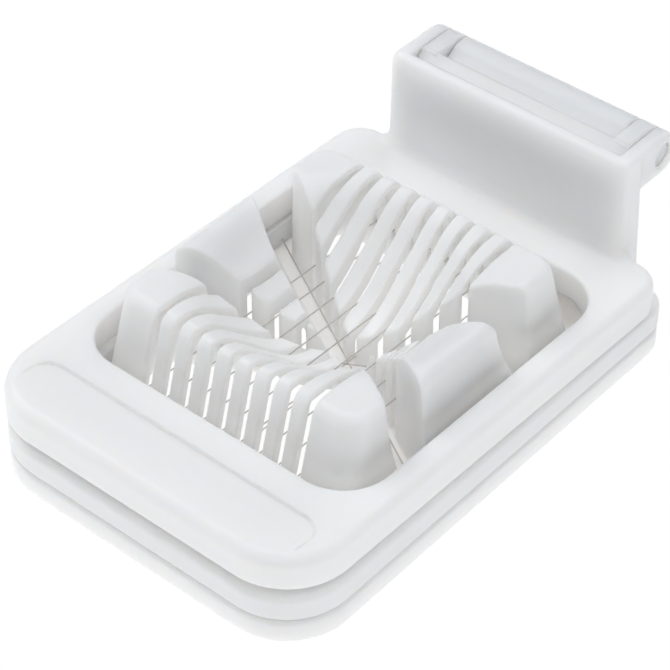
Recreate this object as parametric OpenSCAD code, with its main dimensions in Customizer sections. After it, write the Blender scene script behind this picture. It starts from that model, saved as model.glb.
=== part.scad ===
// Egg slicer and wedger: a base tray with a slotted egg cradle, and two wired
// frames stacked on it that swing up on one hinge pin at the rear.
// Units are millimetres. +X is to the right seen from the front, +Y runs from
// the front edge to the hinge, +Z is up. The origin is on the ground, at the
// middle of the overall width and depth.

/* [Frames] */
// half the width of the tray and of both frames
half_w = 44.1; // [43:0.1:46]
// front-to-rear length of the upper frame
slicer_len = 123.2; // [122.6:0.1:123.4]
// front-to-rear length of the tray plate and of the lower frame
wedger_len = 126.6; // [125.6:0.1:127.4]
// plan radius of the two front corners
front_r = 15.6; // [12:0.2:18]
// plan radius of the two rear corners
rear_r = 7.3; // [5:0.1:9]
// thickness of the tray plate
plate_h = 6.2; // [5.6:0.1:6.3]
// thickness of the lower frame
wedger_h = 6.25; // [5.6:0.05:6.3]
// thickness of the upper frame
slicer_h = 8.25; // [7.6:0.05:8.4]
// height of the lower front edge of the upper frame
slicer_z = 15.66; // [15.5:0.02:16]
// slope of the upper frame down towards the hinge, degrees
slicer_tilt = 1.157; // [1.0:0.01:1.16]

/* [Window] */
// half the width of the window in both frames
win_half_w = 38.1; // [37:0.1:38.6]
// front edge of the window
win_front = 23.2; // [20:0.1:23.2]
// rear edge of the window in the upper frame
slicer_win_rear = 109.6; // [109.4:0.1:111]
// rear edge of the window in the lower frame
wedger_win_rear = 121.0; // [120.8:0.1:121.6]
// plan radius of the window corners
win_r = 11.4; // [8:0.2:13]

/* [Finger scoop] */
// half the length of the shallow scoop in the front bar
scoop_half_w = 38; // [30:0.5:40]
// distance of the crisp rear edge of the scoop from the front edge
scoop_rear = 15.7; // [13:0.1:17]
// distance of the soft front edge of the scoop from the front edge
scoop_front = 3.2; // [3:0.1:6]
// depth of the scoop at its crisp edge
scoop_depth = 0.9; // [0.4:0.1:1.4]

/* [Egg cradle] */
// height of the cradle rim
cradle_top = 34.6; // [33.6:0.1:34.8]
// front face of the cradle, at rim height
cradle_front = 31.8; // [31:0.1:33]
// rear face of the cradle, at rim height
cradle_rear = 98.4; // [96:0.1:98.4]
// half the width of the cradle, at rim height
cradle_half_w = 32.6; // [31:0.1:33]
// lean of the front and rear faces, run over rise
cradle_lean = 0.268; // [0.2:0.004:0.268]
// lean of the side faces, run over rise
side_lean = 0.058; // [0.03:0.002:0.08]
// plan radius of the cradle corners
cradle_r = 5.2; // [4:0.1:6]
// rounding of the rim edge
rim_r = 2.0; // [1:0.1:2.4]
// half the width across the two low side blocks, at rim height
side_half_w = 33.9; // [33.2:0.1:34.2]
// height of the low side blocks
side_top = 33.8; // [33.2:0.1:34.2]
// radius of the round bottom of the egg bowl
bowl_r = 21.75; // [21.25:0.05:22.25]
// height of the bottom of the bowl
bowl_low = 14.2; // [13.9:0.1:14.5]
// slope of the conical side of the bowl, degrees
bowl_side = 43.5; // [43:0.1:45]
// distance of the bowl centre from the front edge
bowl_y = 65.1; // [64.7:0.1:65.5]
// distance of the bowl centre from the middle line, negative to the left
bowl_x = -1.5; // [-1.8:0.1:0]
// wall thickness of the moulded shell
wall = 2.0; // [1.4:0.1:2.2]

/* [Wires] */
// distance between neighbouring slicing wires
wire_pitch = 5.15; // [5:0.05:5.3]
// wire radius
wire_r = 0.22; // [0.15:0.01:0.24]
// width of a slot in the cradle
slot_w = 1.85; // [1.6:0.05:2]
// angle between the slanted wedge wires and the hinge
wedge_angle = 30; // [29:0.5:31]

/* [Hinge] */
// distance of the hinge axis from the front edge
hinge_y = 135.4; // [135.2:0.1:135.6]
// height of the hinge axis
hinge_z = 41.0; // [40.8:0.1:41.2]
// outside radius of the hinge ears and of the barrel
ear_r = 5.1; // [4.6:0.1:5.2]
// radius of the hinge pin
pin_r = 3.05; // [2.5:0.05:3.1]
// running clearance of the ears on the pin, on the radius
pin_gap = 0.06; // [0.03:0.01:0.1]

/* [Hidden] */
$fn = 96;
depth = hinge_y + ear_r;          // overall front-to-rear size
// edge radii: tray plate, lower frame, upper frame
plate_top_r = 1.1;
plate_low_r = 1.5;
wedger_top_r = 1.5;
wedger_low_r = 0.8;
slicer_top_r = 2.7;
slicer_low_r = 0.5;
wedger_z = plate_h + 0.5;         // underside of the lower frame
win_chamfer = 1.2;                // lower rear edge of the upper window
// the bevel ends where the round window corners leave its reach
bevel_half_w = win_half_w - win_r + sqrt(pow(win_r, 2) - pow(win_r - win_chamfer, 2));
// underside of the tray
tray_wall = 3.0;                  // width of the rim the tray stands on
skin_z = plate_h - 1.8;           // underside of the plate skin
// trenches the slanted wires rise through: distance of the walls from the
// front edge, met on the middle line; the front walls lean with the wire's swing
wire_cross_y = 67.8;
trench_z = [cradle_top + 2, 34.6, 24, 14, plate_h];
front_trench = [59.8, 60, 61, 63.5, 66];
front_trench_rear = 70.1;
rear_trench = [55.5, 55.8, 57.4, 61.8, 65];
rear_trench_rear = 68.6;
trench_reach = 46;
side_round = 3;                   // outer edge of the low side blocks
side_y = [48.6, 80, 86];          // front and rear of a side block, top and foot
slot_floor = 7.0;
// wires: count is odd, one on the middle line
wire_n = 9;
wire_over = 1.66;                 // slicing wires above the frame underside
wire_grip = 3.4;                  // length of wire held in a frame bar
wedge_wire_z = [7.45, 7.95, 8.45];
// hinge: three nested brackets, outer on the upper frame, middle on the
// lower frame, and the post of the tray inside them
hinge_top = 46.2;
out_half_w = [33.25, 32.6];       // foot and top of the outer bracket
out_ear_in = 28.9;
out_front = 120.3;
out_wall_rear = 123.8;
out_foot = 13.6;
out_top_r = 3.3;
out_corner_r = 2.4;
wing_rear = [128.9, 128.0];       // foot and top of the side wings
mid_ear = [24.1, 28.5];
mid_front = 124.2;
mid_wall_rear = 128.1;
mid_chamfer_z = hinge_z + 1.6;
post_half_w = 23.7;
post_front = hinge_y - 6.6;
post_rear = 139.2;
post_r = 1.5;
post_shoulder = hinge_z + 1.6;
lug_low = hinge_z - ear_r;        // underside of the lugs
fillet_r = 4;                     // foot of the outer bracket
eps = 0.01;

// moves a piece drawn from the front edge onto the origin
module placed() translate([0, -depth / 2, 0]) children();

// moves a piece drawn on its own underside to where the upper frame lies
module tilted() translate([0, 0, slicer_z]) rotate([-slicer_tilt, 0, 0]) children();

// section through a plate edge from x0 to the outer face on x1, edges rounded
module edge_section(x0, x1, h, top_r, low_r) {
    difference() {
        translate([x0, 0]) square([x1 - x0, h]);
        translate([x1 - top_r, h - top_r]) difference() {
            square(top_r + 1);
            circle(top_r);
        }
        translate([x1 - low_r, low_r]) mirror([0, 1]) difference() {
            square(low_r + 1);
            circle(low_r);
        }
    }
}

// straight run of that edge, outer face on +X, from y = 0 to y = len
module edge_run(span, len, h, top_r, low_r)
    translate([0, len, 0]) rotate([90, 0, 0]) linear_extrude(len)
        edge_section(-span, 0, h, top_r, low_r);

// quarter-round corner of that edge, towards +X and +Y
module edge_corner(r, h, top_r, low_r)
    rotate_extrude(angle = 90) edge_section(0, r, h, top_r, low_r);

// plate with large front corners, small rear corners and rounded edges
module plate(len, h, top_r, low_r) {
    fx = half_w - front_r;
    rx = half_w - rear_r;
    side = len - front_r - rear_r;
    translate([-fx, front_r, 0]) cube([2 * fx, side, h]);
    for (m = [0, 1]) mirror([m, 0, 0]) {
        translate([half_w, front_r, 0]) edge_run(front_r, side, h, top_r, low_r);
        translate([fx, front_r, 0]) rotate([0, 0, -90]) edge_corner(front_r, h, top_r, low_r);
        translate([rx, len - rear_r, 0]) edge_corner(rear_r, h, top_r, low_r);
    }
    translate([-fx, 0, 0]) rotate([0, 0, -90]) edge_run(front_r, 2 * fx, h, top_r, low_r);
    translate([rx, len, 0]) rotate([0, 0, 90]) edge_run(rear_r, 2 * rx, h, top_r, low_r);
}

// rounded rectangle from y0 to y1, half as wide as hw
module round_rect(hw, y0, y1, r0, r1) {
    translate([-hw, y0 + r0]) square([2 * hw, y1 - y0 - r0 - r1]);
    translate([-hw + r0, y0]) square([2 * (hw - r0), r0]);
    translate([-hw + r1, y1 - r1]) square([2 * (hw - r1), r1]);
    for (s = [-1, 1]) {
        translate([s * (hw - r0), y0 + r0]) circle(r0);
        translate([s * (hw - r1), y1 - r1]) circle(r1);
    }
}

// leaning block the cradle is cut from, or the hollow inside it
module cradle_block(inset, low) {
    r = cradle_r - inset;
    q = inset > 0 ? 0.4 : rim_r;
    top = cradle_top - inset;
    function spot(z, sx, sy) = [
        sx * (cradle_half_w - inset + (cradle_top - z) * side_lean - r),
        sy < 0 ? cradle_front + inset - (cradle_top - z) * cradle_lean + r
               : cradle_rear - inset + (cradle_top - z) * cradle_lean - r];
    hull() for (sx = [-1, 1], sy = [-1, 1]) {
        translate(concat(spot(low, sx, sy), low)) cylinder(r = r, h = eps, $fn = 48);
        for (a = [0:22.5:90])
            translate(concat(spot(top - q, sx, sy), top - q + q * sin(a) - eps))
                cylinder(r = r - q * (1 - cos(a)), h = eps, $fn = 48);
    }
}

// round bowl for the egg: a spherical bottom that runs out into a cone
module egg_bowl(grow) {
    r = bowl_r + grow;
    mid = bowl_low + bowl_r;
    foot = [r * sin(bowl_side) - 0.05, mid - r * cos(bowl_side)];
    rise = 20;
    translate([bowl_x, bowl_y, 0]) rotate_extrude() intersection() {
        union() {
            translate([0, mid]) circle(r, $fn = 160);
            polygon([[0, foot[1]], foot, [foot[0] + rise / tan(bowl_side), foot[1] + rise],
                     [0, foot[1] + rise]]);
        }
        square([80, 60]);
    }
}

// one arm of a trench on the +X side; front holds the leaning wall from the
// top down, side is +1 for an arm that runs to the rear and -1 to the front
module trench_arm(front, rear, side, grow, low) {
    c = cos(wedge_angle);
    last = len(front) - 1;
    intersection() {
        cube([trench_reach, 120, cradle_top + 2]);
        rotate([0, 0, side * wedge_angle]) translate([side > 0 ? 15 : -55, 0, 0])
            rotate([90, 0, 90]) linear_extrude(90)
                polygon(concat([for (i = [0:last]) [front[i] * c - grow, trench_z[i]]],
                               [[front[last] * c - grow, low], [rear * c + grow, low],
                                [rear * c + grow, trench_z[0]]]));
    }
}

// four slanted trenches that meet in the middle of the tray
module trenches(grow, low)
    for (m = [0, 1]) mirror([m, 0, 0]) {
        trench_arm(front_trench, front_trench_rear, -1, grow, low);
        trench_arm(rear_trench, rear_trench_rear, 1, grow, low);
    }

// section of the two side blocks across the tray, outer edges rounded
module side_section(inset, low) {
    function face(z) = side_half_w - inset + (cradle_top - z) * side_lean;
    r = side_round - inset;
    tilt = norm([1, side_lean]);
    cz = side_top - side_round;
    cx = face(cz) - r * tilt;
    for (m = [0, 1]) mirror([m, 0]) {
        polygon([[0, low], [face(low), low], [cx + r / tilt, cz + r * side_lean / tilt],
                 [cx, cz], [cx, cz + r], [0, cz + r]]);
        translate([cx, cz]) circle(r);
    }
}

// length of that section from the front of the side blocks to y1
module side_length(y1)
    translate([0, y1, 0]) rotate([90, 0, 0]) linear_extrude(y1 - side_y[0]) children();

// cradle before the bowl is sunk in: the leaning block, lower at the sides
module cradle_body(inset, low) {
    difference() {
        cradle_block(inset, low);
        side_length(side_y[1]) difference() {
            translate([-40, side_top - side_round]) square([80, side_round + 4]);
            side_section(inset, low);
        }
    }
    side_length(side_y[2]) side_section(inset, low);
}

module cradle_solid() {
    difference() {
        cradle_body(0, skin_z);
        egg_bowl(0);
        trenches(0, plate_h);
    }
}

module cradle_hollow() {
    difference() {
        cradle_body(wall, -1);
        egg_bowl(wall);
        trenches(wall, skin_z);
    }
}

module slots() {
    for (i = [0:wire_n - 1]) {
        x = (i - (wire_n - 1) / 2) * wire_pitch;
        translate([x - slot_w / 2, 20, slot_floor])
            cube([slot_w, 92, cradle_top + 2 - slot_floor]);
    }
}

// post of the tray with the hinge barrel on top
module hinge_post() {
    intersection() {
        translate([-post_half_w, 0, 0]) rotate([90, 0, 90]) linear_extrude(2 * post_half_w)
            polygon([[post_front, 0], [post_rear, 0], [post_rear, hinge_z],
                     [hinge_y, hinge_z], [hinge_y - 3.3, hinge_z + 3.9],
                     [post_front + 0.6, post_shoulder + 0.55],
                     [post_front, post_shoulder - 0.5]]);
        linear_extrude(hinge_z + ear_r) round_rect(post_half_w, 100, post_rear, 1, post_r);
    }
    translate([-post_half_w, hinge_y, hinge_z]) rotate([0, 90, 0])
        cylinder(r = ear_r, h = 2 * post_half_w);
    // tongue that joins the post to the plate
    translate([-post_half_w, wedger_len - rear_r, 0])
        cube([2 * post_half_w, post_front + 2 - wedger_len + rear_r, plate_h]);
}

module hinge_bore(r)
    translate([-40, hinge_y, hinge_z]) rotate([0, 90, 0]) cylinder(r = r, h = 80);

module base_tray() color([0.93, 0.93, 0.92]) placed() difference() {
    union() {
        plate(wedger_len, plate_h, plate_top_r, plate_low_r);
        cradle_solid();
        hinge_post();
    }
    // hollow underside
    translate([0, 0, -1]) linear_extrude(skin_z + 1)
        round_rect(half_w - tray_wall, tray_wall, wedger_len - tray_wall,
                   front_r - tray_wall, rear_r - tray_wall);
    cradle_hollow();
    slots();
    // hollow of the post
    translate([-post_half_w + 2.4, post_front + 2.4, -1])
        cube([2 * post_half_w - 4.8, post_rear - post_front - 4.8, hinge_z - ear_r - 1]);
    hinge_bore(pin_r);
}

// side profile of a hinge lug: rounded end about the pin
module lug(y0) {
    translate([y0, lug_low]) square([hinge_y - y0, 2 * ear_r]);
    translate([hinge_y, hinge_z]) circle(ear_r);
}

module wedge_frame() color([0.92, 0.92, 0.91]) placed() difference() {
    union() {
        difference() {
            translate([0, 0, wedger_z]) plate(wedger_len, wedger_h, wedger_top_r, wedger_low_r);
            translate([0, 0, wedger_z - 1]) linear_extrude(wedger_h + 2)
                round_rect(win_half_w, win_front, wedger_win_rear, win_r, 4);
        }
        // middle bracket: wall with two ears
        translate([-mid_ear[1], 0, 0]) rotate([90, 0, 90]) linear_extrude(2 * mid_ear[1])
            polygon([[mid_front, wedger_z], [mid_wall_rear, wedger_z],
                     [mid_wall_rear, hinge_top], [mid_front + hinge_top - mid_chamfer_z, hinge_top],
                     [mid_front, mid_chamfer_z]]);
        for (m = [0, 1]) mirror([m, 0, 0]) translate([mid_ear[0], 0, 0])
            rotate([90, 0, 90]) linear_extrude(mid_ear[1] - mid_ear[0]) lug(mid_wall_rear - 1);
    }
    hinge_bore(pin_r + pin_gap);
}

// outer bracket before it is hollowed: drafted block with rounded front corners
module out_block() {
    intersection() {
        hull() for (s = [-1, 1]) {
            translate([s * (out_half_w[0] - out_corner_r), out_front + out_corner_r, out_foot])
                cylinder(r = out_corner_r, h = eps, $fn = 64);
            translate([s * (out_half_w[1] - out_corner_r), out_front + out_corner_r, hinge_top])
                cylinder(r = out_corner_r, h = eps, $fn = 64);
            translate([s * (out_half_w[0] - 1) - 1, hinge_y + ear_r, out_foot]) cube([2, 1, eps]);
            translate([s * (out_half_w[1] - 1) - 1, hinge_y + ear_r, hinge_top]) cube([2, 1, eps]);
        }
        translate([-40, 0, 0]) rotate([90, 0, 90]) linear_extrude(80) {
            difference() {
                polygon([[out_front - 1, out_foot - 1], [wing_rear[0], out_foot - 1],
                         [wing_rear[1], lug_low], [wing_rear[1], hinge_z + ear_r],
                         [out_front - 1, hinge_z + ear_r]]);
                translate([out_front + out_top_r, hinge_z + ear_r - out_top_r])
                    mirror([1, 0]) difference() {
                        square(out_top_r + 2);
                        circle(out_top_r);
                    }
            }
            lug(wing_rear[1] - 1);
        }
    }
}

// concave foot where the bracket meets the rear bar
module bracket_foot() {
    reach = out_half_w[0] - 1.6;
    translate([-reach, out_front + eps, slicer_z + slicer_h - sin(slicer_tilt) * out_front - 0.3])
        rotate([90, 0, 90]) linear_extrude(2 * reach) mirror([1, 0]) difference() {
            square(fillet_r);
            translate([fillet_r, fillet_r]) circle(fillet_r);
        }
}

module slicing_frame() color([0.94, 0.94, 0.93]) placed() difference() {
    union() {
        tilted() difference() {
            plate(slicer_len, slicer_h, slicer_top_r, slicer_low_r);
            translate([0, 0, -1]) linear_extrude(slicer_h + 2)
                round_rect(win_half_w, win_front, slicer_win_rear, win_r, win_r);
            // bevel under the rear edge of the window, clear of the cradle
            translate([0, slicer_win_rear, 0]) rotate([45, 0, 0])
                cube([2 * bevel_half_w, win_chamfer * sqrt(2), win_chamfer * sqrt(2)],
                     center = true);
            finger_scoop();
        }
        difference() {
            out_block();
            translate([-out_ear_in, out_wall_rear, 0]) cube([2 * out_ear_in, 30, 60]);
        }
        bracket_foot();
    }
    hinge_bore(pin_r + pin_gap);
}

// shallow sloping scoop, deepest at its rear edge
module finger_scoop() {
    slope = atan(scoop_depth / (scoop_rear - scoop_front));
    intersection() {
        translate([0, 0, slicer_h - 3]) linear_extrude(5)
            round_rect(scoop_half_w, scoop_front - 2, scoop_rear, 0.5, 4.2);
        translate([-60, scoop_front, slicer_h]) rotate([-slope, 0, 0]) cube([120, 30, 5]);
    }
}

module hinge_pin() color([0.86, 0.86, 0.85]) placed()
    translate([-out_half_w[1] + 0.9, hinge_y, hinge_z]) rotate([0, 90, 0])
        cylinder(r = pin_r, h = 2 * (out_half_w[1] - 0.9));

// taut wire from the front bar to the rear bar of a frame
module long_wire(y_end)
    translate([0, win_front - wire_grip, 0]) rotate([-90, 0, 0])
        cylinder(r = wire_r, h = y_end + wire_grip - win_front + wire_grip, $fn = 24);

module slicing_wire(i) color([0.55, 0.55, 0.56]) placed() tilted()
    translate([(i - (wire_n + 1) / 2) * wire_pitch, 0, wire_over]) long_wire(slicer_win_rear);

module wedge_wire_mid() color([0.55, 0.55, 0.56]) placed()
    translate([0, 0, wedge_wire_z[1]]) long_wire(wedger_win_rear);

// slanted wire from side bar to side bar
module slant_wire(turn, z) color([0.55, 0.55, 0.56]) placed() {
    reach = (win_half_w + wire_grip) / cos(wedge_angle);
    translate([0, wire_cross_y, z]) rotate([0, 90, turn]) translate([0, 0, -reach])
        cylinder(r = wire_r, h = 2 * reach, $fn = 24);
}

module wedge_wire_left() slant_wire(wedge_angle, wedge_wire_z[0]);
module wedge_wire_right() slant_wire(-wedge_angle, wedge_wire_z[2]);

base_tray();
wedge_frame();
slicing_frame();
hinge_pin();
slicing_wire(1);  // slicing_wire_1
slicing_wire(2);  // slicing_wire_2
slicing_wire(3);  // slicing_wire_3
slicing_wire(4);  // slicing_wire_4
slicing_wire(5);  // slicing_wire_5
slicing_wire(6);  // slicing_wire_6
slicing_wire(7);  // slicing_wire_7
slicing_wire(8);  // slicing_wire_8
slicing_wire(9);  // slicing_wire_9
wedge_wire_mid();
wedge_wire_left();
wedge_wire_right();
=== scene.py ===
import math

import bmesh
import bpy
import numpy as np
from mathutils import Matrix, Vector


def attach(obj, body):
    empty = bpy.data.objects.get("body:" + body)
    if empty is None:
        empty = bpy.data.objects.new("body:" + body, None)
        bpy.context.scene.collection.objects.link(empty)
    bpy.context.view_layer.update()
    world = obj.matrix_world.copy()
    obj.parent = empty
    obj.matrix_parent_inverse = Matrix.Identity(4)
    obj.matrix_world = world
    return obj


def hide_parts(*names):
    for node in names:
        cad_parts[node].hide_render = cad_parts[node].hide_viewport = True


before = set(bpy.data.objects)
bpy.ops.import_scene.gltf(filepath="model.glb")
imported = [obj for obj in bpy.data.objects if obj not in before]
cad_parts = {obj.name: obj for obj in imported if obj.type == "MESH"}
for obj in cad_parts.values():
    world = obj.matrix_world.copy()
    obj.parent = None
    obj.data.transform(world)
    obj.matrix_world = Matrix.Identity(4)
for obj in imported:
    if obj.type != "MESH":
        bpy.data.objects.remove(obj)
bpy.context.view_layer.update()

# ---------------------------------------------------------------- sizes, mm
# y is measured from the front edge here; FRONT moves it to the part's frame.
MM = 0.001
HINGE_Y, HINGE_Z = 135.4, 41.0
EAR_R, PIN_R, PIN_GAP = 5.1, 3.05, 0.06
DEPTH = HINGE_Y + EAR_R
FRONT = -DEPTH / 2

HALF_W = 44.1
FRONT_R, REAR_R = 15.6, 7.3
PLATE_H, SKIN_Z, TRAY_WALL = 6.2, 4.4, 3.0
WEDGER_LEN, WEDGER_Z, WEDGER_H = 126.6, 6.7, 6.25
SLICER_LEN, SLICER_Z, SLICER_H = 123.2, 15.66, 8.25
TILT = math.radians(1.157)

WIN_HALF_W, WIN_FRONT, WIN_R, WIN_BEVEL = 38.1, 23.2, 11.4, 1.2
BEVEL_HALF_W = 31.8                      # the bevel ends where the corners turn
DIAGONAL = 0.707                         # half the square root of two
SLICER_WIN_REAR, WEDGER_WIN_REAR = 109.6, 121.0
# finger scoop: deepest at its rear edge, and fading out towards the front
SCOOP_HALF_W, SCOOP_REAR, SCOOP_R, SCOOP_FADE = 38.0, 15.7, 4.6, 3.0
SCOOP_RUN, SCOOP_DEPTH, SCOOP_CURVE = 12.7, 0.95, 1.15

CRADLE_TOP, CRADLE_FRONT, CRADLE_REAR = 34.6, 31.8, 98.4
CRADLE_HALF_W, CRADLE_R = 32.6, 5.2
LEAN, SIDE_LEAN = 0.268, 0.058
SIDE_HALF_W, SIDE_TOP, SIDE_ROUND = 33.9, 33.8, 3.0
SIDE_FRONT, SIDE_REAR = 68.0, 66.8       # side blocks, on the middle line
RIM_R, BOWL_RIM_R, TRENCH_EDGE_R = 2.4, 3.0, 0.7
BOWL_X, BOWL_Y, BOWL_LOW, BOWL_R = -1.5, 65.1, 14.2, 21.75
BOWL_SIDE = math.radians(43.5)
WALL = 2.0
FIN_EXTRA, FIN_EXTRA_TOP, FIN_EXTRA_RUN = 1.9, 28, 8
# trench walls on the middle line: the front walls lean with the wire's swing
TRENCH_Z = (6.2, 14.0, 24.0, 34.6)
FRONT_TRENCH = np.polyfit(TRENCH_Z, (66.0, 63.5, 61.0, 60.0), 3)
REAR_TRENCH = np.polyfit(TRENCH_Z, (65.0, 61.8, 57.4, 55.8), 3)
FRONT_TRENCH_REAR, REAR_TRENCH_REAR = 70.1, 68.6
WEDGE_ANGLE = math.radians(30)
WIRE_CROSS_Y = 67.8

PITCH, SLOT_W, WIRE_N, WIRE_R = 5.15, 1.85, 9, 0.16
SLOT_FLOOR, SLOT_REAR, SLOT_EDGE_R = 7.0, 112, 0.4
WIRE_GRIP, WIRE_OVER = 3.4, 1.66
WEDGE_WIRE_Z = (7.45, 7.95, 8.45)

HINGE_TOP = 46.2
OUT_FOOT, OUT_FRONT, OUT_WALL_REAR, OUT_EAR_IN = 13.6, 120.3, 123.8, 28.9
OUT_HALF_W = (33.25, 32.6)
WING_REAR = (128.9, 128.0)
MID_EAR, MID_FRONT, MID_WALL_REAR = (24.1, 28.5), 124.2, 128.1
MID_CHAMFER_Z = HINGE_Z + 1.6
POST_HALF_W, POST_FRONT, POST_REAR = 23.7, HINGE_Y - 6.6, 139.2
POST_WALL = 2.4
BROW_TOP, BROW_LOW = (132.1, 44.9), (129.4, 43.15)

CELL = 0.45       # size of the surfacing cells
SLICE = 400000                           # points worked out at a time


# ------------------------------------------------- solids as distance fields
def join(a, b, r=0.0):
    """Union of two solids with a concave fillet of radius r."""
    if not r:
        return np.minimum(a, b)
    u, v = np.maximum(r - a, 0), np.maximum(r - b, 0)
    return np.maximum(r, np.minimum(a, b)) - np.hypot(u, v)


def meet(a, b, r=0.0):
    """Common part of two solids, its new edge rounded to radius r."""
    if not np.any(r):
        return np.maximum(a, b)
    u, v = np.maximum(r + a, 0), np.maximum(r + b, 0)
    return np.minimum(-r, np.maximum(a, b)) + np.hypot(u, v)


def cut(a, b, r=0.0):
    """Solid a less solid b, the new edge rounded to radius r."""
    return meet(a, -b, r)


def outline(x, y, half_w, y0, y1, r_front, r_rear):
    """Plan of a plate: a rectangle with its own front and rear corner radii."""
    mid, half = (y0 + y1) / 2, (y1 - y0) / 2
    r = np.where(y < mid, r_front, r_rear)
    qx, qy = np.abs(x) - half_w + r, np.abs(y - mid) - half + r
    return np.minimum(np.maximum(qx, qy), 0) + np.hypot(np.maximum(qx, 0), np.maximum(qy, 0)) - r


def slab(plan, z, z0, z1, r_top, r_low):
    """A plate of that plan from z0 to z1 with rounded upper and lower edges."""
    mid, half = (z0 + z1) / 2, (z1 - z0) / 2
    r = np.where(z > mid, r_top, r_low)
    qa, qb = plan + r, np.abs(z - mid) - half + r
    return np.minimum(np.maximum(qa, qb), 0) + np.hypot(np.maximum(qa, 0), np.maximum(qb, 0)) - r


def half_plane(y, z, at, normal):
    """Everything behind the line through at, in the y-z section."""
    n = math.hypot(*normal)
    return ((y - at[0]) * normal[0] + (z - at[1]) * normal[1]) / n


def lug(y, z, y0):
    """Section of a hinge lug: a bar from y0 that ends round about the pin."""
    bar = np.maximum(np.maximum(y0 - y, y - HINGE_Y), np.abs(z - HINGE_Z) - EAR_R)
    return np.minimum(bar, np.hypot(y - HINGE_Y, z - HINGE_Z) - EAR_R)


def bore(y, z, r):
    return np.hypot(y - HINGE_Y, z - HINGE_Z) - r


def trenches(x, y, z):
    """Four slanted trenches that meet in the middle of the tray."""
    c, run = math.cos(WEDGE_ANGLE), np.abs(x) * math.tan(WEDGE_ANGLE)
    h = np.clip(z, 4, 36)
    fore = np.maximum(np.polyval(FRONT_TRENCH, h) - run - y, y - FRONT_TRENCH_REAR + run)
    aft = np.maximum(np.polyval(REAR_TRENCH, h) + run - y, y - REAR_TRENCH_REAR - run)
    return np.minimum(fore, aft) * c


def bowl(x, y, z):
    """Round hollow for the egg: a spherical bottom that runs out into a cone."""
    rho, h = np.hypot(x - BOWL_X, y - BOWL_Y), z - BOWL_LOW - BOWL_R
    c, s = math.cos(BOWL_SIDE), math.sin(BOWL_SIDE)
    return np.where(rho * c + h * s > 0, rho * s - h * c, np.hypot(rho, h)) - BOWL_R


def cradle(x, y, z):
    """Leaning block, lower at the sides, with the bowl and the trenches taken out."""
    rise = CRADLE_TOP - z
    tilt, side_tilt = math.cos(math.atan(LEAN)), math.cos(math.atan(SIDE_LEAN))
    ends = np.maximum(CRADLE_FRONT - rise * LEAN - y, y - CRADLE_REAR - rise * LEAN) * tilt
    sides = (np.abs(x) - CRADLE_HALF_W - rise * SIDE_LEAN) * side_tilt
    groups = meet(meet(sides, ends, CRADLE_R), z - CRADLE_TOP, RIM_R)
    flanks = (np.abs(x) - SIDE_HALF_W - rise * SIDE_LEAN) * side_tilt
    blocks = meet(flanks, z - SIDE_TOP, SIDE_ROUND)
    run = np.abs(x) * math.tan(WEDGE_ANGLE)
    between = (y > SIDE_FRONT - run) & (y < SIDE_REAR + run)
    body = meet(np.where(between, blocks, groups), -bowl(x, y, z), BOWL_RIM_R)
    return cut(body, trenches(x, y, z), TRENCH_EDGE_R)


def slots(x, y, z):
    k = np.clip(np.round(x / PITCH), -(WIRE_N // 2), WIRE_N // 2)
    return np.maximum(np.maximum(np.abs(x - k * PITCH) - SLOT_W / 2, SLOT_FLOOR - z),
                      y - SLOT_REAR)


def hinge_post(x, y, z):
    front, rear = POST_FRONT - y, y - POST_REAR
    body = np.maximum(np.maximum(front, rear), z - HINGE_Z)
    brow = np.maximum(half_plane(y, z, BROW_TOP, (-0.544, 0.839)),
                      half_plane(y, z, BROW_LOW, (-0.868, 0.496)))
    brow = np.maximum(np.maximum(brow, half_plane(y, z, BROW_TOP, (0.763, 0.646))), 38 - z)
    section = np.minimum(np.minimum(body, np.maximum(brow, front)), bore(y, z, EAR_R))
    sides = np.abs(x) - POST_HALF_W
    return meet(sides, section, 0.5)


def base_tray(x, y, z):
    plan = outline(x, y, HALF_W, 0, WEDGER_LEN, FRONT_R, REAR_R)
    plate = slab(plan, z, 0, PLATE_H, 1.1, 1.5)
    shell = cradle(x, y, z)
    post = np.maximum(hinge_post(x, y, z), -z)
    tongue = slab(np.maximum(np.abs(x) - POST_HALF_W, np.abs(y - 126) - 6), z, 0, PLATE_H, 0.3, 0.3)
    solid = join(join(plate, np.maximum(shell, SKIN_Z - z), 0.6), np.minimum(post, tongue))
    under = np.maximum(outline(x, y, HALF_W - TRAY_WALL, TRAY_WALL, WEDGER_LEN - TRAY_WALL,
                               FRONT_R - TRAY_WALL, REAR_R - TRAY_WALL), z - SKIN_Z)
    post_core = np.maximum(np.maximum(np.abs(x) - POST_HALF_W + POST_WALL, np.abs(y - 134) - 2.8),
                           z - HINGE_Z + EAR_R + 2)
    # the fins are deeper low in the bowl than at its rim
    deep = WALL + FIN_EXTRA * np.clip((FIN_EXTRA_TOP - z) / FIN_EXTRA_RUN, 0, 1)
    core = np.maximum(shell + WALL, deep - bowl(x, y, z))
    hollow = np.minimum(np.minimum(under, core), post_core)
    solid = cut(solid, hollow, 0.25)
    solid = cut(solid, slots(x, y, z), SLOT_EDGE_R)
    return cut(solid, bore(y, z, PIN_R))


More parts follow.
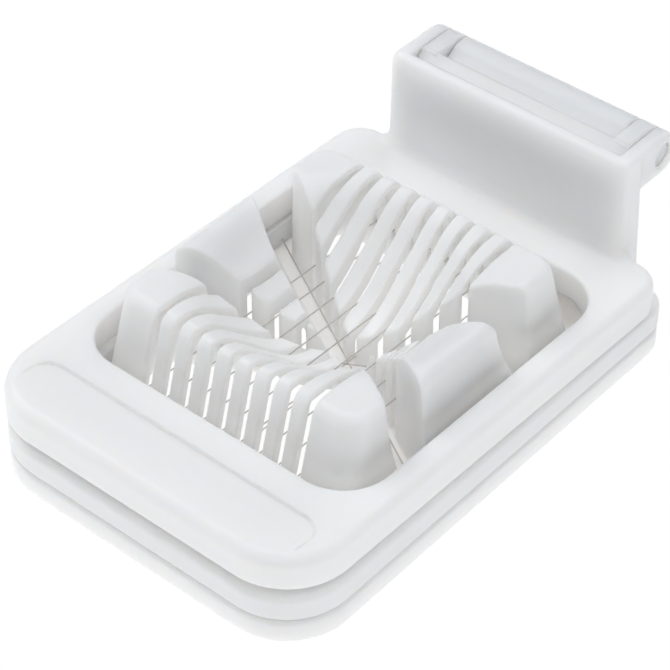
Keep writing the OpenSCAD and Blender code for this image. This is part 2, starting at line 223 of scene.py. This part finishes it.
def wedge_frame(x, y, z):
    plan = outline(x, y, HALF_W, 0, WEDGER_LEN, FRONT_R, REAR_R)
    plate = slab(plan, z, WEDGER_Z, WEDGER_Z + WEDGER_H, 1.5, 0.8)
    window = outline(x, y, WIN_HALF_W, WIN_FRONT, WEDGER_WIN_REAR, WIN_R, 4)
    plate = cut(plate, window, 0.5)
    wall = np.maximum(np.maximum(MID_FRONT - y, y - MID_WALL_REAR), WEDGER_Z - z)
    top = np.maximum(z - HINGE_TOP, half_plane(y, z, (MID_FRONT, MID_CHAMFER_Z), (-1, 1)))
    wall = meet(wall, top, 0.3)
    arm = np.maximum(MID_EAR[0] - np.abs(x), lug(y, z, MID_WALL_REAR - 1))
    bracket = meet(np.minimum(wall, arm), np.abs(x) - MID_EAR[1], 0.4)
    solid = join(plate, bracket, 0.4)
    # nothing stands behind the wall below the lugs
    behind = half_plane(y, z, (MID_WALL_REAR, 20), (1, 0))
    solid = np.maximum(solid, behind * (z < 34) - 50 * (z >= 34))
    return cut(solid, bore(y, z, PIN_R + PIN_GAP), 0.2)


def finger_scoop(x, y, z):
    """Shallow scoop, in the upper frame's own y and z: deep and crisp at its
    rear edge, and running out before the front edge."""
    plan = outline(x, y, SCOOP_HALF_W, -4.0, SCOOP_REAR, 1.0, SCOOP_R)
    reach = np.clip((y - SCOOP_FADE) / SCOOP_RUN, 0, 1)
    return np.maximum(plan, SLICER_H - SCOOP_DEPTH * reach ** SCOOP_CURVE - z)


def slicing_frame(x, y, z):
    rise = z - SLICER_Z
    v = y * math.cos(TILT) - rise * math.sin(TILT)
    w = y * math.sin(TILT) + rise * math.cos(TILT)
    plan = outline(x, v, HALF_W, 0, SLICER_LEN, FRONT_R, REAR_R)
    edge = 2.4 + 0.6 * np.clip((16 - v) / 12, 0, 1)
    bar = slab(plan, w, 0, SLICER_H, edge, 0.5)
    scoop = finger_scoop(x, v, w)
    bar = cut(bar, scoop, 0.25)
    # bracket with its rounded brow, side wings and lugs
    share = (z - OUT_FOOT) / (HINGE_TOP - OUT_FOOT)
    sides = np.abs(x) - OUT_HALF_W[0] - share * (OUT_HALF_W[1] - OUT_HALF_W[0])
    wing = half_plane(y, z, (WING_REAR[0], OUT_FOOT), (22.3, 0.9))
    wing = np.maximum(np.maximum(wing, OUT_FOOT - z), z - HINGE_Z - EAR_R)
    section = np.minimum(wing, lug(y, z, WING_REAR[1] - 1))
    brow = meet(OUT_FRONT - y, z - HINGE_Z - EAR_R, 3.3)
    section = np.maximum(section, brow)
    block = meet(meet(sides, OUT_FRONT - y, 2.4), section, 1.6)
    solid = join(bar, block, 3.4)
    inner = np.maximum(np.abs(x) - OUT_EAR_IN, OUT_WALL_REAR - y)
    solid = cut(solid, inner, 0.3)
    solid = np.maximum(solid, -w)
    window = outline(x, v, WIN_HALF_W, WIN_FRONT, SLICER_WIN_REAR, WIN_R, WIN_R)
    solid = cut(solid, window, 0.9)
    bevel = (np.abs(v - SLICER_WIN_REAR) + np.abs(w) - WIN_BEVEL) * DIAGONAL
    bevel = np.maximum(bevel, np.abs(x) - BEVEL_HALF_W)
    solid = cut(solid, bevel)
    return cut(solid, bore(y, z, PIN_R + PIN_GAP), 0.3)


# --------------------------------------------------------------- surfacing
def field(shape, p):
    """The shape's distance at points p, in slices that stay in memory."""
    out = np.empty(len(p))
    for i in range(0, len(p), SLICE):
        q = p[i:i + SLICE]
        out[i:i + SLICE] = shape(q[:, 0], q[:, 1], q[:, 2])
    return out


def slope(shape, p, h=0.02):
    """Unit normals of the shape at points p, and the length of the gradient."""
    g = np.stack([field(shape, p + h * e) - field(shape, p - h * e) for e in np.eye(3)], 1) / (2 * h)
    size = np.linalg.norm(g, axis=1, keepdims=True)
    return g / np.maximum(size, 1e-6), np.maximum(size, 0.3)


def settle(shape, p, reach, rounds=3):
    """Moves points onto the surface, each no further than reach."""
    start = p.copy()
    for _ in range(rounds):
        n, size = slope(shape, p)
        p = p - n * field(shape, p)[:, None] / size
        off = p - start
        far = np.linalg.norm(off, axis=1, keepdims=True)
        p = start + off * np.minimum(1, reach / np.maximum(far, 1e-9))
    return p


def surface_net(shape, low, high, cell):
    """Quads over the zero surface of a distance field, one point to a cell."""
    axes = [np.arange(a, b + cell, cell) for a, b in zip(low, high)]
    n = [len(a) for a in axes]
    grid = np.stack(np.meshgrid(*axes, indexing="ij"), -1).reshape(-1, 3)
    f = field(shape, grid).reshape(n)
    inside = f < 0
    total, count = np.zeros([m - 1 for m in n] + [3]), np.zeros([m - 1 for m in n])
    for axis in range(3):
        here = [slice(None)] * 3
        there = [slice(None)] * 3
        here[axis], there[axis] = slice(0, -1), slice(1, None)
        a, b = f[tuple(here)], f[tuple(there)]
        cross = (a < 0) != (b < 0)
        at = np.argwhere(cross)
        t = a[cross] / (a[cross] - b[cross])
        where = at.astype(float)
        where[:, axis] += t
        others = [k for k in range(3) if k != axis]
        for di in (0, 1):
            for dj in (0, 1):
                idx = at.copy()
                idx[:, others[0]] -= di
                idx[:, others[1]] -= dj
                ok = np.all((idx >= 0) & (idx < np.array(count.shape)), axis=1)
                np.add.at(total, tuple(idx[ok].T), where[ok])
                np.add.at(count, tuple(idx[ok].T), 1)
    used = count > 0
    number = np.full(count.shape, -1)
    number[used] = np.arange(used.sum())
    points = total[used] / count[used][:, None] * cell + np.array([a[0] for a in axes])
    quads = []
    for axis in range(3):
        j, k = (axis + 1) % 3, (axis + 2) % 3
        here = [slice(None)] * 3
        there = [slice(None)] * 3
        here[axis], there[axis] = slice(0, -1), slice(1, None)
        a, b = inside[tuple(here)], inside[tuple(there)]
        at = np.argwhere(a != b)
        outward = a[tuple(at.T)]
        ring = []
        for dj, dk in ((0, 0), (1, 0), (1, 1), (0, 1)):
            idx = at.copy()
            idx[:, j] -= dj
            idx[:, k] -= dk
            ring.append(number[tuple(idx.T)])
        ring = np.stack(ring, 1)
        quads.append(np.where(outward[:, None], ring[:, ::-1], ring)[:, ::-1])
    return points, np.concatenate(quads)


def mesh_object(name, points, faces, material):
    mesh = bpy.data.meshes.new(name)
    mesh.from_pydata([tuple(p) for p in points], [], [tuple(int(i) for i in q) for q in faces])
    mesh.materials.append(material)
    obj = bpy.data.objects.new(name, mesh)
    bpy.context.collection.objects.link(obj)
    return obj


def moulding(name, shape, low, high, material, triangles):
    """A moulded piece: surfaced, thinned to that many triangles, set back on
    its surface, and shaded with the surface's own normals."""
    points, quads = surface_net(shape, low, high, CELL)
    points = settle(shape, points, CELL * 0.8)
    obj = mesh_object(name, points, quads, material)
    share = min(1.0, triangles / (2 * len(quads)))
    thin = obj.modifiers.new("thin", "DECIMATE")
    thin.ratio = share
    bpy.context.view_layer.update()
    mesh = bpy.data.meshes.new_from_object(obj.evaluated_get(bpy.context.evaluated_depsgraph_get()))
    obj.modifiers.clear()
    old, obj.data = obj.data, mesh
    bpy.data.meshes.remove(old)
    mesh.name = name
    p = np.empty(len(mesh.vertices) * 3)
    mesh.vertices.foreach_get("co", p)
    p = settle(shape, p.reshape(-1, 3), CELL * 0.4, 2)
    normals, _ = slope(shape, p, 0.06)
    p[:, 1] += FRONT
    mesh.vertices.foreach_set("co", (p * MM).ravel())
    mesh.polygons.foreach_set("use_smooth", [True] * len(mesh.polygons))
    mesh.update()
    mesh.normals_split_custom_set_from_vertices([tuple(v) for v in normals])
    print(name, "triangles", sum(len(q.vertices) - 2 for q in mesh.polygons))
    return obj


# ------------------------------------------------------------ shader maths
class Value:
    """A shader socket that takes part in Python arithmetic."""

    def __init__(self, sheet, socket):
        self.sheet, self.socket = sheet, socket

    def _math(self, operation, a, b):
        return self.sheet.add("ShaderNodeMath", {"operation": operation}, {0: a, 1: b})

    def __add__(self, other):
        return self._math("ADD", self, other)

    def __mul__(self, other):
        return self._math("MULTIPLY", self, other)

    __radd__, __rmul__ = __add__, __mul__


class Finish:
    """One material: its nodes are added by name and linked by value."""

    def __init__(self, name):
        self.material = bpy.data.materials.new(name)
        self.material.use_nodes = True
        self.tree = self.material.node_tree
        self.tree.nodes.clear()
        self.output = self.tree.nodes.new("ShaderNodeOutputMaterial")

    def add(self, kind, settings=None, inputs=None, out=0):
        node = self.tree.nodes.new(kind)
        for key, value in (settings or {}).items():
            setattr(node, key, value)
        for key, value in (inputs or {}).items():
            self.put(node.inputs[key], value)
        return Value(self, node.outputs[out])

    def put(self, socket, value):
        if isinstance(value, Value):
            self.tree.links.new(value.socket, socket)
        else:
            socket.default_value = value

    def place(self, scale=(1, 1, 1)):
        spot = self.add("ShaderNodeTexCoord", out="Object")
        return self.add("ShaderNodeMapping", {}, {"Vector": spot, "Scale": scale})

    def noise(self, spot, scale, detail=2.0, roughness=0.5):
        return self.add("ShaderNodeTexNoise", {}, {"Vector": spot, "Scale": scale, "Detail": detail,
                                                   "Roughness": roughness}, "Fac")

    def colour(self, fac, a, b):
        node = self.tree.nodes.new("ShaderNodeMix")
        node.data_type = "RGBA"
        self.put(node.inputs["Factor"], fac)
        for key, value in (("A", a), ("B", b)):
            for socket in node.inputs:
                if socket.name == key and socket.type == "RGBA":
                    socket.default_value = value
        return Value(self, next(s for s in node.outputs if s.type == "RGBA"))

    def surface(self, **sockets):
        node = self.tree.nodes.new("ShaderNodeBsdfPrincipled")
        for key, value in sockets.items():
            self.put(node.inputs[key.replace("_", " ")], value)
        self.tree.links.new(node.outputs[0], self.output.inputs["Surface"])
        return self.material


def moulded_plastic(name, tone):
    """Satin white moulding: faint clouding, a fine grain and slow sink marks."""
    f = Finish(name)
    spot = f.place()
    cloud = f.noise(spot, 45.0, 3.0)
    grain = f.noise(spot, 2600.0, 2.0, 0.6)
    sink = f.noise(spot, 60.0, 1.0)
    pale = tuple(c * 1.008 for c in tone) + (1.0,)
    deep = tuple(c * 0.990 for c in tone) + (1.0,)
    bump = f.add("ShaderNodeBump", {}, {"Strength": 0.12, "Distance": 0.00008,
                                        "Height": grain * 0.6 + sink * 2.0}, "Normal")
    return f.surface(Base_Color=f.colour(cloud, deep, pale),
                     Roughness=cloud * 0.10 + grain * 0.06 + 0.34,
                     Normal=bump, IOR=1.49, Subsurface_Weight=1.0,
                     Subsurface_Radius=(0.0050, 0.0046, 0.0042), Subsurface_Scale=1.0)


def drawn_steel(name):
    """Bright drawn wire with fine lengthwise scratches."""
    f = Finish(name)
    spot = f.place((900, 60, 900))
    streak = f.noise(spot, 1.0, 3.0)
    bump = f.add("ShaderNodeBump", {}, {"Strength": 0.3, "Distance": 0.00002,
                                        "Height": streak}, "Normal")
    return f.surface(Base_Color=f.colour(streak, (0.52, 0.49, 0.46, 1), (0.70, 0.67, 0.64, 1)),
                     Metallic=1.0, Roughness=streak * 0.2 + 0.28, Normal=bump)


TRAY_WHITE = moulded_plastic("tray_white", (0.955, 0.944, 0.924))
FRAME_WHITE = moulded_plastic("frame_white", (0.955, 0.945, 0.927))
PIN_WHITE = moulded_plastic("pin_white", (0.92, 0.914, 0.90))
STEEL = drawn_steel("drawn_steel")


# ------------------------------------------------------------------- pieces
def wire_tree():
    """Geometry Nodes tree: a row of straight round wires along Y."""
    tree = bpy.data.node_groups.new("wire_row", "GeometryNodeTree")
    face = tree.interface
    face.new_socket("Geometry", in_out="OUTPUT", socket_type="NodeSocketGeometry")
    for label, kind in (("Count", "NodeSocketInt"), ("Pitch", "NodeSocketFloat"),
                        ("Length", "NodeSocketFloat"), ("Radius", "NodeSocketFloat"),
                        ("Wire finish", "NodeSocketMaterial")):
        face.new_socket(label, in_out="INPUT", socket_type=kind)
    nodes, link = tree.nodes, tree.links.new
    given, result = nodes.new("NodeGroupInput"), nodes.new("NodeGroupOutput")

    def maths(operation, a, b):
        node = nodes.new("ShaderNodeMath")
        node.operation = operation
        for socket, value in zip(node.inputs, (a, b)):
            if isinstance(value, (int, float)):
                socket.default_value = value
            else:
                link(value, socket)
        return node.outputs[0]

    row = nodes.new("GeometryNodeMeshLine")
    start, step = nodes.new("ShaderNodeCombineXYZ"), nodes.new("ShaderNodeCombineXYZ")
    span = maths("MULTIPLY", maths("SUBTRACT", given.outputs["Count"], 1), given.outputs["Pitch"])
    link(maths("MULTIPLY", span, -0.5), start.inputs["X"])
    link(given.outputs["Pitch"], step.inputs["X"])
    link(given.outputs["Count"], row.inputs["Count"])
    link(start.outputs[0], row.inputs["Start Location"])
    link(step.outputs[0], row.inputs["Offset"])

    axis = nodes.new("GeometryNodeCurvePrimitiveLine")
    head, tail = nodes.new("ShaderNodeCombineXYZ"), nodes.new("ShaderNodeCombineXYZ")
    link(maths("MULTIPLY", given.outputs["Length"], -0.5), head.inputs["Y"])
    link(maths("MULTIPLY", given.outputs["Length"], 0.5), tail.inputs["Y"])
    link(head.outputs[0], axis.inputs["Start"])
    link(tail.outputs[0], axis.inputs["End"])
    ring = nodes.new("GeometryNodeCurvePrimitiveCircle")
    ring.inputs["Resolution"].default_value = 16
    link(given.outputs["Radius"], ring.inputs["Radius"])
    sweep = nodes.new("GeometryNodeCurveToMesh")
    sweep.inputs["Fill Caps"].default_value = True
    link(axis.outputs[0], sweep.inputs["Curve"])
    link(ring.outputs[0], sweep.inputs["Profile Curve"])

    spread = nodes.new("GeometryNodeInstanceOnPoints")
    link(row.outputs[0], spread.inputs["Points"])
    link(sweep.outputs[0], spread.inputs["Instance"])
    real, finish = nodes.new("GeometryNodeRealizeInstances"), nodes.new("GeometryNodeSetMaterial")
    link(spread.outputs[0], real.inputs[0])
    link(real.outputs[0], finish.inputs["Geometry"])
    link(given.outputs["Wire finish"], finish.inputs["Material"])
    link(finish.outputs[0], result.inputs[0])
    return tree


WIRE_ROW = wire_tree()


def wires(count, pitch, length, matrix):
    """Bakes a row of wires, placed by matrix, into a list of points and faces."""
    mesh = bpy.data.meshes.new("wire_seed")
    seed = bpy.data.objects.new("wire_seed", mesh)
    bpy.context.collection.objects.link(seed)
    grow = seed.modifiers.new("row", "NODES")
    grow.node_group = WIRE_ROW
    sizes = {"Count": count, "Pitch": pitch * MM, "Length": length * MM,
             "Radius": WIRE_R * MM, "Wire finish": STEEL}
    for item in WIRE_ROW.interface.items_tree:
        if item.in_out == "INPUT":
            grow[item.identifier] = sizes[item.name]
    bpy.context.view_layer.update()
    made = bpy.data.meshes.new_from_object(seed.evaluated_get(bpy.context.evaluated_depsgraph_get()))
    made.transform(matrix)
    bpy.data.objects.remove(seed)
    return made


def merge(name, meshes):
    """One object from several meshes, faces outward and smooth."""
    bm = bmesh.new()
    for mesh in meshes:
        bm.from_mesh(mesh)
        bpy.data.meshes.remove(mesh)
    bmesh.ops.remove_doubles(bm, verts=bm.verts, dist=1e-7)
    bmesh.ops.recalc_face_normals(bm, faces=bm.faces)
    for face in bm.faces:
        face.smooth = len(face.verts) == 4
    out = bpy.data.meshes.new(name)
    bm.to_mesh(out)
    bm.free()
    out.materials.clear()
    out.materials.append(STEEL)
    obj = bpy.data.objects.new(name, out)
    bpy.context.collection.objects.link(obj)
    return obj


def spot(x, y, z):
    """Row-frame place of a point given in millimetres from the front edge."""
    return Vector((x * MM, (y + FRONT) * MM, z * MM))


low, high = (-HALF_W - 1, -1, -1), (HALF_W + 1, DEPTH + 1, HINGE_TOP + 1)
tray = moulding("tray_moulding", base_tray, low, high, TRAY_WHITE, 190000)
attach(tray, "tray")
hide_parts("base_tray")

wedger = moulding("wedge_frame_moulding", wedge_frame, (low[0], low[1], WEDGER_Z - 1), high,
                  FRAME_WHITE, 90000)
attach(wedger, "wedger")
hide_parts("wedge_frame")

slicer = moulding("slicing_frame_moulding", slicing_frame, (low[0], low[1], OUT_FOOT - 2), high,
                  FRAME_WHITE, 120000)
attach(slicer, "slicer")
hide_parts("slicing_frame")

reach = SLICER_WIN_REAR - WIN_FRONT + 2 * WIRE_GRIP
centre = (SLICER_WIN_REAR + WIN_FRONT) / 2
tilt = Matrix.Rotation(-TILT, 4, "X")
local = tilt @ Vector((0, centre * MM, WIRE_OVER * MM))
place = Matrix.Translation(spot(0, 0, SLICER_Z) + local) @ tilt
slicing_wires = merge("slicing_wires", [wires(WIRE_N, PITCH, reach, place)])
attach(slicing_wires, "slicer")
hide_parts(*[f"slicing_wire_{i + 1}" for i in range(WIRE_N)])

reach = WEDGER_WIN_REAR - WIN_FRONT + 2 * WIRE_GRIP
middle = Matrix.Translation(spot(0, (WEDGER_WIN_REAR + WIN_FRONT) / 2, WEDGE_WIRE_Z[1]))
slant = 2 * (WIN_HALF_W + WIRE_GRIP) / math.cos(WEDGE_ANGLE)
rows = [wires(1, PITCH, reach, middle)]
for turn, height in ((math.pi / 2 + WEDGE_ANGLE, WEDGE_WIRE_Z[0]),
                     (math.pi / 2 - WEDGE_ANGLE, WEDGE_WIRE_Z[2])):
    crossing = Matrix.Translation(spot(0, WIRE_CROSS_Y, height))
    rows.append(wires(1, PITCH, slant, crossing @ Matrix.Rotation(turn, 4, "Z")))
wedge_wires = merge("wedge_wires", rows)
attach(wedge_wires, "wedger")
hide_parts("wedge_wire_mid", "wedge_wire_left", "wedge_wire_right")


def pin():
    """Hinge pin turned from its half section, with softened ends."""
    half = OUT_HALF_W[1] - 0.9
    section = [(0.0, half), (PIN_R - 0.5, half), (PIN_R - 0.15, half - 0.12), (PIN_R, half - 0.45)]
    section += [(r, -x) for r, x in reversed(section)]
    turns = 64
    bm = bmesh.new()
    rings = []
    for r, x in section:
        if r == 0:
            rings.append([bm.verts.new(spot(x, HINGE_Y, HINGE_Z))])
        else:
            rings.append([bm.verts.new(spot(x, HINGE_Y + r * math.cos(2 * math.pi * i / turns),
                                            HINGE_Z + r * math.sin(2 * math.pi * i / turns)))
                          for i in range(turns)])
    for a, b in zip(rings, rings[1:]):
        for i in range(turns):
            j = (i + 1) % turns
            face = [a[i % len(a)], a[j % len(a)], b[j % len(b)], b[i % len(b)]]
            bm.faces.new(list(dict.fromkeys(face)))
    bmesh.ops.recalc_face_normals(bm, faces=bm.faces)
    for face in bm.faces:
        face.smooth = True
    mesh = bpy.data.meshes.new("hinge_pin_turned")
    bm.to_mesh(mesh)
    bm.free()
    mesh.materials.append(PIN_WHITE)
    obj = bpy.data.objects.new("hinge_pin_turned", mesh)
    bpy.context.collection.objects.link(obj)
    return obj


hinge_pin = pin()
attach(hinge_pin, "tray")
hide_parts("hinge_pin")


# -------------------------------------------------------- floor, light, view
def table_top(glow):
    """Pale table of milk glass: it glows a little, and is seen as a white ground
    with a trace of the object's shadow on it."""
    f = Finish("pale_table")
    seen = f.add("ShaderNodeLightPath", out="Is Camera Ray")
    mirrored = f.add("ShaderNodeLightPath", out="Is Glossy Ray")
    haze = f.noise(f.place(), 4.0)
    tone = f.colour(haze, (0.86, 0.86, 0.86, 1), (0.88, 0.88, 0.88, 1))
    diffuse = f.add("ShaderNodeBsdfDiffuse", {}, {"Color": tone})
    lit = f.add("ShaderNodeEmission", {}, {"Color": (1, 1, 1, 1), "Strength": glow})
    body = f.add("ShaderNodeAddShader", {}, {0: diffuse, 1: lit})
    white = f.add("ShaderNodeEmission", {}, {"Color": (1, 1, 1, 1), "Strength": 1.0})
    mix = f.add("ShaderNodeMixShader", {}, {0: (seen + mirrored) * 0.95, 1: body, 2: white})
    f.tree.links.new(mix.socket, f.output.inputs["Surface"])
    mesh = bpy.data.meshes.new("table_top")
    half, level = 6.0, -0.0002
    corners = [(x * half, y * half, level) for x, y in ((-1, -1), (1, -1), (1, 1), (-1, 1))]
    mesh.from_pydata(corners, [], [(0, 1, 2, 3)])
    mesh.materials.append(f.material)
    obj = bpy.data.objects.new("table_top", mesh)
    bpy.context.collection.objects.link(obj)


def soft_box(name, aim, azimuth, elevation, distance, size, power):
    """Square area lamp that faces aim from that direction."""
    lamp = bpy.data.lights.new(name, "AREA")
    lamp.shape, lamp.size, lamp.energy = "SQUARE", size, power
    lamp.color = (0.965, 0.98, 1.0)
    a, e = math.radians(azimuth), math.radians(elevation)
    back = Vector((math.sin(a) * math.cos(e), -math.cos(a) * math.cos(e), math.sin(e)))
    obj = bpy.data.objects.new(name, lamp)
    obj.location = Vector(aim) + back * distance
    obj.rotation_euler = back.to_track_quat("Z", "Y").to_euler()
    bpy.context.collection.objects.link(obj)


def white_sky():
    """World that the camera sees as white and that lights nothing."""
    sky = bpy.data.worlds.new("studio")
    sky.use_nodes = True
    nodes, link = sky.node_tree.nodes, sky.node_tree.links.new
    back = nodes["Background"]
    path = nodes.new("ShaderNodeLightPath")
    level = nodes.new("ShaderNodeMix")
    link(path.outputs["Is Camera Ray"], level.inputs["Factor"])
    level.inputs["A"].default_value = 0.0
    level.inputs["B"].default_value = 1.0
    link(level.outputs["Result"], back.inputs["Strength"])
    back.inputs["Color"].default_value = (1, 1, 1, 1)
    bpy.context.scene.world = sky


table_top(0.50)
AIM = (0, 0, 0.02)
white_sky()
soft_box("top_box", AIM, 200, 80, 1.0, 0.8, 3.6)
soft_box("back_box", AIM, 180, 40, 1.0, 0.6, 1.6)
soft_box("left_box", AIM, -55, 18, 1.0, 0.5, 2.0)
soft_box("left_high_box", AIM, -90, 45, 1.0, 0.5, 2.6)
soft_box("right_high_box", AIM, 110, 45, 1.0, 0.5, 1.4)
soft_box("view_box", AIM, 40, 45, 1.0, 0.5, 2.9)


CAMERA_AT, CAMERA_LENS = (0.26198, -0.31454, 0.37832), 136.6
CAMERA_AZIMUTH, CAMERA_ELEVATION = math.radians(40.39), math.radians(41.65)


def camera():
    data = bpy.data.cameras.new("studio_camera")
    data.sensor_width, data.lens = 36.0, CAMERA_LENS
    a, e = CAMERA_AZIMUTH, CAMERA_ELEVATION
    back = Vector((math.sin(a) * math.cos(e), -math.cos(a) * math.cos(e), math.sin(e)))
    right = Vector((math.cos(a), math.sin(a), 0))
    up = back.cross(right)
    obj = bpy.data.objects.new("studio_camera", data)
    turn = Matrix((right, up, back)).transposed().to_4x4()
    obj.matrix_world = Matrix.Translation(CAMERA_AT) @ turn
    data.clip_start = 0.01
    bpy.context.collection.objects.link(obj)
    bpy.context.scene.camera = obj


camera()
bpy.context.scene.view_settings.view_transform = "Standard"
